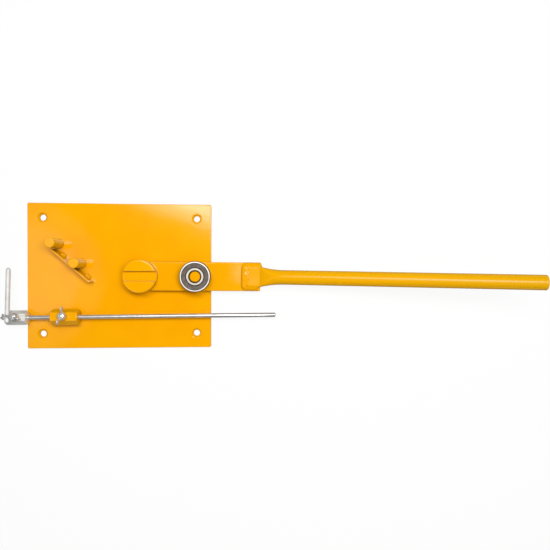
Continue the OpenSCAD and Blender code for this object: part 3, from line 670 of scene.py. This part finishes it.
def make_studio():
    make_floor()
    make_world()
    for lamp in LAMPS:
        softbox(**lamp)
    make_tent()
    for card in ROUND_CARDS:
        round_card(**card)
    square_card(**ROD_CARD)


# Mesh building

class Shape:
    """Points in millimetres and faces that grow together into one piece."""

    def __init__(self):
        self.points = []
        self.faces = []

    def loft(self, rings, close_start=True, close_end=True):
        """A skin through rings of equally many points."""
        first = len(self.points)
        count = len(rings[0])
        for ring in rings:
            self.points.extend(Vector(p) for p in ring)
        for r in range(len(rings) - 1):
            for k in range(count):
                a = first + r * count + k
                b = first + r * count + (k + 1) % count
                self.faces.append((a, b, b + count, a + count))
        if close_start:
            self.faces.append(tuple(first + k for k in reversed(range(count))))
        if close_end:
            last = first + (len(rings) - 1) * count
            self.faces.append(tuple(last + k for k in range(count)))
        return self

    def turned(self, profile, sides, closed=False):
        """A lathe shape about Z. The profile is (radius, height) pairs, a loop of them if closed."""
        rings = [[(radius * math.cos(math.tau * k / sides), radius * math.sin(math.tau * k / sides), height)
                  for k in range(sides)] for radius, height in profile]
        if closed:
            rings.append(rings[0])
        return self.loft(rings, not closed, not closed)

    def piece(self, name, body, slot, replaced, place=IN_PLACE, sharp=40):
        """The finished Blender piece, riding on a body in the finish of a record slot."""
        made = flat_mesh(name, [place @ p * MM for p in self.points], self.faces,
                         NODE_MATERIALS.get(replaced, MATERIALS[slot]))
        mesh = made.data
        mesh.validate()
        skin = bmesh.new()
        skin.from_mesh(mesh)
        bmesh.ops.recalc_face_normals(skin, faces=skin.faces)
        skin.to_mesh(mesh)
        skin.free()
        mesh.polygons.foreach_set("use_smooth", [True] * len(mesh.polygons))
        mesh.set_sharp_from_angle(angle=math.radians(sharp))
        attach(made, body)
        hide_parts(replaced)
        return made


def bezier(a, b, c, share):
    rest = 1 - share
    return rest * rest * a + 2 * rest * share * b + share * share * c


# Handle

HANDLE_DIAMETER = 20
HANDLE_WALL = 2
HANDLE_LENGTH = 375
HANDLE_RISE = math.radians(12)
HANDLE_YAW = math.radians(-0.55)
ARM_REACH = 164
PAD_LAP = 19
BEND_SETBACK = 1
BEND_RADIUS = 26
TAPER_LENGTH = 34
CAP_LENGTH = 6
CRUSHED_BORE = 0.4
# Hollow along the middle of the flattened end, as the press leaves it
PAD_DISH = 0.25
# Shares of the taper where its flat top starts to arch, and where the section has become an ellipse
CROWN_START = 0.36
CROWN_END = 0.56
HANDLE_SIDES = 96
# Sections along the flattened end, half of the bend, the taper and the round tube
FLAT_RINGS = 8
BEND_RINGS = 6
TAPER_RINGS = 24
TUBE_RINGS = 12
# Least difference of a section's width from its height
LEAST_STRAIGHT = 0.02

# The handle is measured from its bend
AT_BEND = (ON_LEVER @ Matrix.Translation((ARM_REACH - BEND_SETBACK, 0, 0))
           @ Matrix.Rotation(HANDLE_YAW, 4, "Z"))
FLAT_THICKNESS = 2 * HANDLE_WALL + CRUSHED_BORE
FLAT_WIDTH = FLAT_THICKNESS + math.pi * (HANDLE_DIAMETER - FLAT_THICKNESS) / 2
PAD_START = BEND_SETBACK - PAD_LAP
BEND = Vector((0, 0, ARM_TOP + FLAT_THICKNESS / 2))
BEND_HALF = BEND_RADIUS * math.tan(HANDLE_RISE / 2)
TUBE_END = HANDLE_LENGTH - CAP_LENGTH


def stadium(width, height, dish, crown):
    """Points round a slotted-hole outline, evenly spaced, with its long faces dished a little. A crown of 1
    makes an ellipse of it."""
    radius = height / 2
    straight = width / 2 - radius
    quarter = straight + math.pi * radius / 2

    def corner(run):
        if run < math.pi * radius / 2:
            return (straight + radius * math.cos(run / radius), radius * math.sin(run / radius))
        across = straight - (run - math.pi * radius / 2)
        return (across, radius - dish * (1 - (across / straight) ** 2) ** 2)

    points = []
    for k in range(HANDLE_SIDES):
        turn, run = divmod(4 * quarter * k / HANDLE_SIDES, quarter)
        x, y = corner(run if turn % 2 == 0 else quarter - run)
        y += crown * (radius * math.sqrt(max(0, 1 - (2 * x / width) ** 2)) - y)
        points.append((x if turn in (0, 3) else -x, y if turn < 2 else -y))
    return points


def handle_line(run):
    """Point on the handle's centre line and its lean, for a run measured from the bend's corner."""
    if run < -BEND_HALF:
        return BEND + Vector((run, 0, 0)), 0.0
    if run < BEND_HALF:
        lean = HANDLE_RISE * (run + BEND_HALF) / (2 * BEND_HALF)
        start = BEND + Vector((-BEND_HALF, 0, BEND_RADIUS))
        return start + BEND_RADIUS * Vector((math.sin(lean), 0, -math.cos(lean))), lean
    return BEND + run * Vector((math.cos(HANDLE_RISE), 0, math.sin(HANDLE_RISE))), HANDLE_RISE


def handle_ring(run, inset=0.0):
    """The tube's section at a run from the bend: flat, tapering or round, less an inset."""
    share = min(1, max(0, run / TAPER_LENGTH))
    width = HANDLE_DIAMETER + (FLAT_WIDTH - HANDLE_DIAMETER) * (1 - share) ** 2
    height = max(FLAT_THICKNESS, (math.pi * HANDLE_DIAMETER - 2 * width) / (math.pi - 2))
    flatness = (width - height) / (FLAT_WIDTH - FLAT_THICKNESS)
    centre, lean = handle_line(run)
    up = Vector((-math.sin(lean), 0, math.cos(lean)))
    crown = min(1, max(0, (share - CROWN_START) / (CROWN_END - CROWN_START)))
    width = max(width, height + LEAST_STRAIGHT)
    outline = stadium(width - 2 * inset, height - 2 * inset, PAD_DISH * flatness, crown)
    return [centre + Vector((0, across, 0)) + rise * up for across, rise in outline]


def make_handle():
    flat = [PAD_START + (-BEND_HALF - PAD_START) * k / FLAT_RINGS for k in range(FLAT_RINGS)]
    bend = [BEND_HALF * k / BEND_RINGS for k in range(-BEND_RINGS, BEND_RINGS)]
    taper = [BEND_HALF + (TAPER_LENGTH - BEND_HALF) * k / TAPER_RINGS for k in range(TAPER_RINGS + 1)]
    tube = [TAPER_LENGTH + (TUBE_END - TAPER_LENGTH) * k / TUBE_RINGS for k in range(1, TUBE_RINGS + 1)]
    outside = [handle_ring(run) for run in flat + bend + taper + tube]
    bore = [handle_ring(run, HANDLE_WALL) for run in reversed([TAPER_LENGTH / 2, TAPER_LENGTH, TUBE_END])]
    Shape().loft(outside + bore).piece("flattened_handle_tube", "lever", "yellow_paint", "handle_tube",
                                       AT_BEND)


# Weld beads

RIPPLE_PITCH = 1.7
RIPPLE_DEPTH = 0.05
# How far a ripple's edges trail behind its crest, in radians
RIPPLE_LAG = 1.4
BEAD_SECTION = 12
BEAD_STEP = 0.35
# How far a bead's root lies inside the pieces that it joins, and the length of its rounded ends
BEAD_ROOT = 0.15
BEAD_END = 2.4
END_FULLNESS = 0.7
LEAST_SIZE = 0.05
WANDER_SCALE = 0.31


def bead(shape, stations, wander=0.12):
    """Adds a rippled bead. Stations are (root point, outward direction, run, section) along it. A section
    is the toe, swell and crest, as (outward, up) offsets, of the curve from the floor to the wall."""
    length = stations[-1][2]
    rings = []
    for root, outward, run, section in stations:
        from_end = min(1, min(run, length - run) / BEAD_END)
        fade = from_end ** END_FULLNESS
        size = max(LEAST_SIZE, fade) * (1 + wander * noise.noise(root * WANDER_SCALE))
        toe, swell, crest = section
        ring = [root - BEAD_ROOT * outward]
        for k in range(BEAD_SECTION + 1):
            share = k / BEAD_SECTION
            across, rise = bezier(toe, swell, crest, share) * size
            lag = RIPPLE_LAG * (2 * share - 1) ** 2
            wave = math.sin(math.tau * run / RIPPLE_PITCH + lag) * math.sin(math.pi * share)
            lift = RIPPLE_DEPTH * wave * fade
            ring.append(root + (across + lift) * outward + Vector((0, 0, rise + lift)))
        rings.append(ring)
    shape.loft(rings)


def bead_section(toe, swell, crest):
    return Vector(toe), Vector(swell), Vector(crest)


def between(first, second, share):
    """Section at a share of the way from the first section to the second."""
    return tuple(a.lerp(b, share) for a, b in zip(first, second))


def straight_stations(start, end, outward, section, step=BEAD_STEP):
    """Stations along a line, for a bead beside a straight wall."""
    start, end = Vector(start), Vector(end)
    count = max(2, round((end - start).length / step))
    return [(start.lerp(end, k / count), Vector(outward), (end - start).length * k / count, section)
            for k in range(count + 1)]


# Beads beside the flattened end, and the mound across it that runs out over its edge
SIDE_BEAD = bead_section((6.7, 0), (4.4, 3.0), (0.3, 3.74))
END_FLANK = bead_section((7.6, 0), (6.4, 5.0), (-2, 4.42))
END_MOUND = bead_section((8, 0), (6.6, 5.6), (-2.5, 4.5))
HANDLE_BEAD_WANDER = 0.04
CORNER_STEPS = 14
CORNER_RADIUS = 4.5
# How far the upper bead runs past the bend, and the lower one stops short of it
BEAD_PAST_END = 3.6
BEAD_SHORT_OF_END = 0.5


def make_handle_weld():
    """One bead up one side of the flattened end, round its square end and down the other side."""
    side = FLAT_WIDTH / 2 - FLAT_THICKNESS / 3
    far_left = Vector((BEAD_PAST_END, side, ARM_TOP))
    near_left = Vector((PAD_START, side, ARM_TOP))
    near_right = Vector((PAD_START, -side, ARM_TOP))
    far_right = Vector((-BEAD_SHORT_OF_END, -side, ARM_TOP))
    runs = [(far_left, near_left, Vector((0, 1, 0)), SIDE_BEAD, SIDE_BEAD),
            (near_left, near_right, Vector((-1, 0, 0)), END_FLANK, END_MOUND),
            (near_right, far_right, Vector((0, -1, 0)), SIDE_BEAD, SIDE_BEAD)]
    stations = []
    run = 0.0
    for index, (start, end, outward, section, belly) in enumerate(runs):
        for point, direction, step, _ in straight_stations(start, end, outward, section):
            swelling = math.sin(math.pi * step / (end - start).length)
            stations.append((point, direction, run + step, between(section, belly, swelling)))
        run = stations[-1][2]
        if index < len(runs) - 1:
            next_outward, next_section = runs[index + 1][2:4]
            for k in range(1, CORNER_STEPS):
                share = k / CORNER_STEPS
                run += CORNER_RADIUS * math.pi / 2 / CORNER_STEPS
                stations.append((end, outward.slerp(next_outward, share), run,
                                 between(section, next_section, share)))
    shape = Shape()
    bead(shape, stations, HANDLE_BEAD_WANDER)
    shape.piece("handle_weld_bead", "lever", "weld_paint", "handle_weld", AT_BEND)


# Sections of the two beads beside the holder, as (outward, up) from under the rod's axis. The holder is
# rolled, so they differ.
FRONT_BEAD = {"side": -1, "root": 5.5, "curve": ((9.2, 0), (9.9, 2.6), (7.8, 4.3))}
BACK_BEAD = {"side": 1, "root": 3.9, "curve": ((9.2, 0), (9.3, 2.6), (7.9, 5.0))}
HOLDER_LENGTH = 36


def make_holder_welds():
    shape = Shape()
    foot = PLATE_TOP - middle("rod_holder").z
    for section in (FRONT_BEAD, BACK_BEAD):
        root = section["root"]
        ends = [(x, section["side"] * root, foot) for x in (-HOLDER_LENGTH / 2, HOLDER_LENGTH / 2)]
        curve = bead_section(*((out - root, up) for out, up in section["curve"]))
        bead(shape, straight_stations(ends[0], ends[1], (0, section["side"], 0), curve))
    shape.piece("holder_weld_beads", "base", "weld_paint", "holder_welds", on_rod("rod_holder", 0))


# Rib and its tacks: the rib runs beside the pins, from the outer one past the inner one

RIB_THICKNESS = 2
RIB_START = 1.5
RIB_LENGTH = 67
RIB_GAP = 1.8
TACK_LENGTH = 11
TACK_LEG = 4
TACK_GAP = 3
TACK_WANDER = 0.35
TACK_SWELL = 0.65 * TACK_LEG
TACK_BEAD = bead_section((TACK_LEG, 0), (TACK_SWELL, TACK_SWELL), (0, TACK_LEG))
PIN_RADIUS = (high("outer_pin").x - low("outer_pin").x) / 2
PIN_LINE = middle("inner_pin") - middle("outer_pin")
ON_PIN_LINE = (Matrix.Translation((middle("outer_pin").x, middle("outer_pin").y, PLATE_TOP))
               @ Matrix.Rotation(math.atan2(PIN_LINE.y, PIN_LINE.x), 4, "Z"))


def make_rib_welds():
    """Two tacks on the rib's pin side and one across its end."""
    face = -PIN_RADIUS - RIB_GAP
    back = face - RIB_THICKNESS / 2
    rib_end = RIB_START + RIB_LENGTH
    first = PIN_RADIUS + TACK_GAP
    last = rib_end - TACK_LEG - TACK_LENGTH
    tacks = [((place, face, 0), (place + TACK_LENGTH, face, 0), (0, 1, 0)) for place in (first, last)]
    tacks.append(((rib_end, back + TACK_LEG / 2, 0), (rib_end, back - TACK_LEG / 2, 0), (1, 0, 0)))
    shape = Shape()
    for start, end, outward in tacks:
        bead(shape, straight_stations(start, end, outward, TACK_BEAD), TACK_WANDER)
    shape.piece("rib_tack_welds", "base", "weld_paint", "rib_welds", ON_PIN_LINE)


# Finger of the stop: its place on the sleeve, the height of the sleeve's top flat and half of its width
FINGER_PLACE = -8
FINGER_TURN = math.radians(1.5)
STOP_TOP = 8.5
STOP_FLAT_HALF = 4.9
FINGER_BEAD_ROOT = 1.2
FINGER_BEAD_STEP = 0.25
FINGER_BEAD_WANDER = 0.2
FINGER_BEAD = bead_section((2.8, 0), (1.75, 0.55), (1.35, 1.45))


def make_finger_welds():
    shape = Shape()
    for side in (-1, 1):
        ends = [(side * FINGER_BEAD_ROOT, y, STOP_TOP) for y in (-STOP_FLAT_HALF, STOP_FLAT_HALF)]
        stations = straight_stations(ends[0], ends[1], (side, 0, 0), FINGER_BEAD, FINGER_BEAD_STEP)
        bead(shape, stations, FINGER_BEAD_WANDER)
    shape.piece("finger_weld_beads", "stop", "zinc", "finger_welds",
                on_rod("stop_sleeve", STOP_ROLL, FINGER_PLACE) @ Matrix.Rotation(FINGER_TURN, 4, "Z"))


# Wing screws

SCREW_DIAMETER = 5
THREAD_PITCH = 0.8
THREAD_DEPTH = 0.22
HUB_DIAMETER = 11
HUB_TOP_DIAMETER = 9
HUB_HEIGHT = 6.5
WING_SPAN = 24.5
WING_HEIGHT = 13
WING_THICKNESS = 2.6
WING_TIP_RADIUS = 3.8
WING_LIFT = 3
WING_ROOT_RADIUS = 1.9
# How the sections crowd at the ear's tip, how late it flares, how thick it is at root and tip beside its
# thickness, and how square its sections are across and upward
WING_CROWDING = 1.6
WING_FLARE = 1.3
WING_ROOT_SHARE = 1.12
WING_TIP_LOSS = 0.24
WING_THIN_FROM = 1.2
WING_SQUARENESS = (0.6, 0.85)
LEAST_SPREAD = 0.02
SHANK_SIDES = 36
ROWS_PER_PITCH = 8
TIP_CHAMFER = 0.4
HUB_SIDES = 64
WING_SIDES = 28
WING_RINGS = 30
# Heights above the rod's axis
SHANK_TIP = 3.15
HOLDER_HUB_FOOT = 13.5
STOP_HUB_FOOT = 12.5
STOP_SCREW_PLACE = 1.5
HOLDER_WING_ANGLE = 76
STOP_WING_ANGLE = -15


def threaded_shank(shape, tip, top):
    rows = math.ceil((top - tip) / (THREAD_PITCH / ROWS_PER_PITCH))
    rings = []
    for row in range(rows + 1):
        z = tip + (top - tip) * row / rows
        lead = min(1, (z - tip) / THREAD_PITCH)
        ring = []
        for k in range(SHANK_SIDES):
            turn = math.tau * k / SHANK_SIDES
            phase = (z / THREAD_PITCH - k / SHANK_SIDES) % 1.0
            ridge = 1 - abs(2 * phase - 1)
            radius = SCREW_DIAMETER / 2 - THREAD_DEPTH * (1 - ridge * lead) - TIP_CHAMFER * (1 - lead)
            ring.append((radius * math.cos(turn), radius * math.sin(turn), z))
        rings.append(ring)
    shape.loft(rings)


def wing(shape, foot, side):
    """One ear: rounded sections along the line from its root in the hub to its tip."""
    root = Vector((HUB_TOP_DIAMETER / 2 - 2, 0, foot + WING_LIFT + WING_ROOT_RADIUS))
    tip = Vector((WING_SPAN / 2 - WING_TIP_RADIUS, 0, foot + WING_HEIGHT - WING_TIP_RADIUS))
    reach = (tip - root).length
    heading = (tip - root).normalized()
    upward = Vector((-heading.z, 0, heading.x))
    rings = []
    for k in range(WING_RINGS + 1):
        share = k / WING_RINGS
        run = (reach + WING_TIP_RADIUS) * (1 - (1 - share) ** WING_CROWDING)
        outward = min(1, run / reach)
        beyond = max(0.0, run - reach)
        spread = WING_ROOT_RADIUS + (WING_TIP_RADIUS - WING_ROOT_RADIUS) * outward ** WING_FLARE
        spread = max(LEAST_SPREAD, math.sqrt(max(0, spread ** 2 - beyond ** 2)))
        half = WING_THICKNESS / 2 * (WING_ROOT_SHARE - WING_TIP_LOSS * outward)
        half *= min(1, spread / WING_THIN_FROM) ** 0.5
        ring = []
        for j in range(WING_SIDES):
            turn = math.tau * j / WING_SIDES
            across = math.copysign(abs(math.cos(turn)) ** WING_SQUARENESS[0], math.cos(turn)) * half
            rise = math.copysign(abs(math.sin(turn)) ** WING_SQUARENESS[1], math.sin(turn)) * spread
            point = root + run * heading + rise * upward
            ring.append((side * point.x, side * across, point.z))
        rings.append(ring)
    shape.loft(rings)


def make_wing_screw(node, body, foot, wing_angle, place):
    shape = Shape()
    threaded_shank(shape, SHANK_TIP, foot + 0.5)
    hub, crown = HUB_DIAMETER / 2, HUB_TOP_DIAMETER / 2
    shape.turned([(SCREW_DIAMETER / 2, foot + 0.3), (hub - 0.7, foot), (hub - 0.2, foot + 0.2),
                  (hub, foot + 0.8), (hub - 0.15, foot + 2), (crown + 0.25, foot + HUB_HEIGHT - 1.2),
                  (crown - 0.15, foot + HUB_HEIGHT - 0.4), (crown - 0.9, foot + HUB_HEIGHT),
                  (crown - 1.7, foot + HUB_HEIGHT + 0.05), (crown - 2.1, foot + HUB_HEIGHT - 0.5),
                  (crown - 2.3, foot + HUB_HEIGHT - 0.55)], HUB_SIDES)
    shape.turned([(crown - 2.35, foot + HUB_HEIGHT - 1), (crown - 2.35, foot + HUB_HEIGHT - 0.25),
                  (crown - 2.6, foot + HUB_HEIGHT - 0.05), (0.4, foot + HUB_HEIGHT + 0.12)], HUB_SIDES)
    for side in (-1, 1):
        wing(shape, foot, side)
    turn = Matrix.Rotation(math.radians(wing_angle), 4, "Z")
    shape.piece(node + "_cast", body, "zinc", node, place @ turn)


# Seals of the roller

SEAL_SIDES = 160
SEAL_SHARP = 60
SEAL_GAP = 0.3
INNER_SHOULDER = (high("bearing_inner_ring").x - low("bearing_inner_ring").x) / 2
# Face of a seal from its bore to its rim: the share of the way, and how far it lies under the face
SEAL_FACE = ((0.0, -0.5), (0.03, -0.12), (0.09, 0.0), (0.17, -0.06), (0.21, -0.24), (0.27, -0.28),
             (0.45, -0.24), (0.475, -0.14), (0.5, -0.24), (0.66, -0.24), (0.685, -0.14), (0.71, -0.24),
             (0.8, -0.27), (0.86, -0.12), (0.92, -0.02), (0.97, -0.06), (1.0, -0.22))


def make_seal(node, name, facing):
    """A moulded seal: a bead at its rim, a dished face with two fine ridges and a lip at its bore."""
    lo, hi = low(node), high(node)
    rim = (hi.x - lo.x) / 2
    bore = INNER_SHOULDER + SEAL_GAP
    face = hi.z if facing > 0 else lo.z
    back = lo.z if facing > 0 else hi.z
    span = rim - bore
    profile = [(bore + share * span, face + facing * drop) for share, drop in SEAL_FACE]
    profile += [(rim, back), (bore, back)]
    shape = Shape().turned(profile if facing > 0 else profile[::-1], SEAL_SIDES, closed=True)
    on_axis = Matrix.Translation((ROLLER.x, ROLLER.y, 0))
    shape.piece(name, "roller", "seal_rubber", node, on_axis, SEAL_SHARP)


make_camera()
make_studio()
dress_nodes()
make_handle()
make_handle_weld()
make_holder_welds()
make_rib_welds()
make_finger_welds()
make_wing_screw("holder_wing_screw", "holder_screw", HOLDER_HUB_FOOT, HOLDER_WING_ANGLE,
                on_rod("rod_holder", HOLDER_ROLL))
make_wing_screw("stop_wing_screw", "stop_screw", STOP_HUB_FOOT, STOP_WING_ANGLE,
                on_rod("stop_sleeve", STOP_ROLL, STOP_SCREW_PLACE))
make_seal("upper_seal", "upper_seal_moulded", 1)
make_seal("lower_seal", "lower_seal_moulded", -1)

bpy.context.scene.view_settings.view_transform = "Standard"
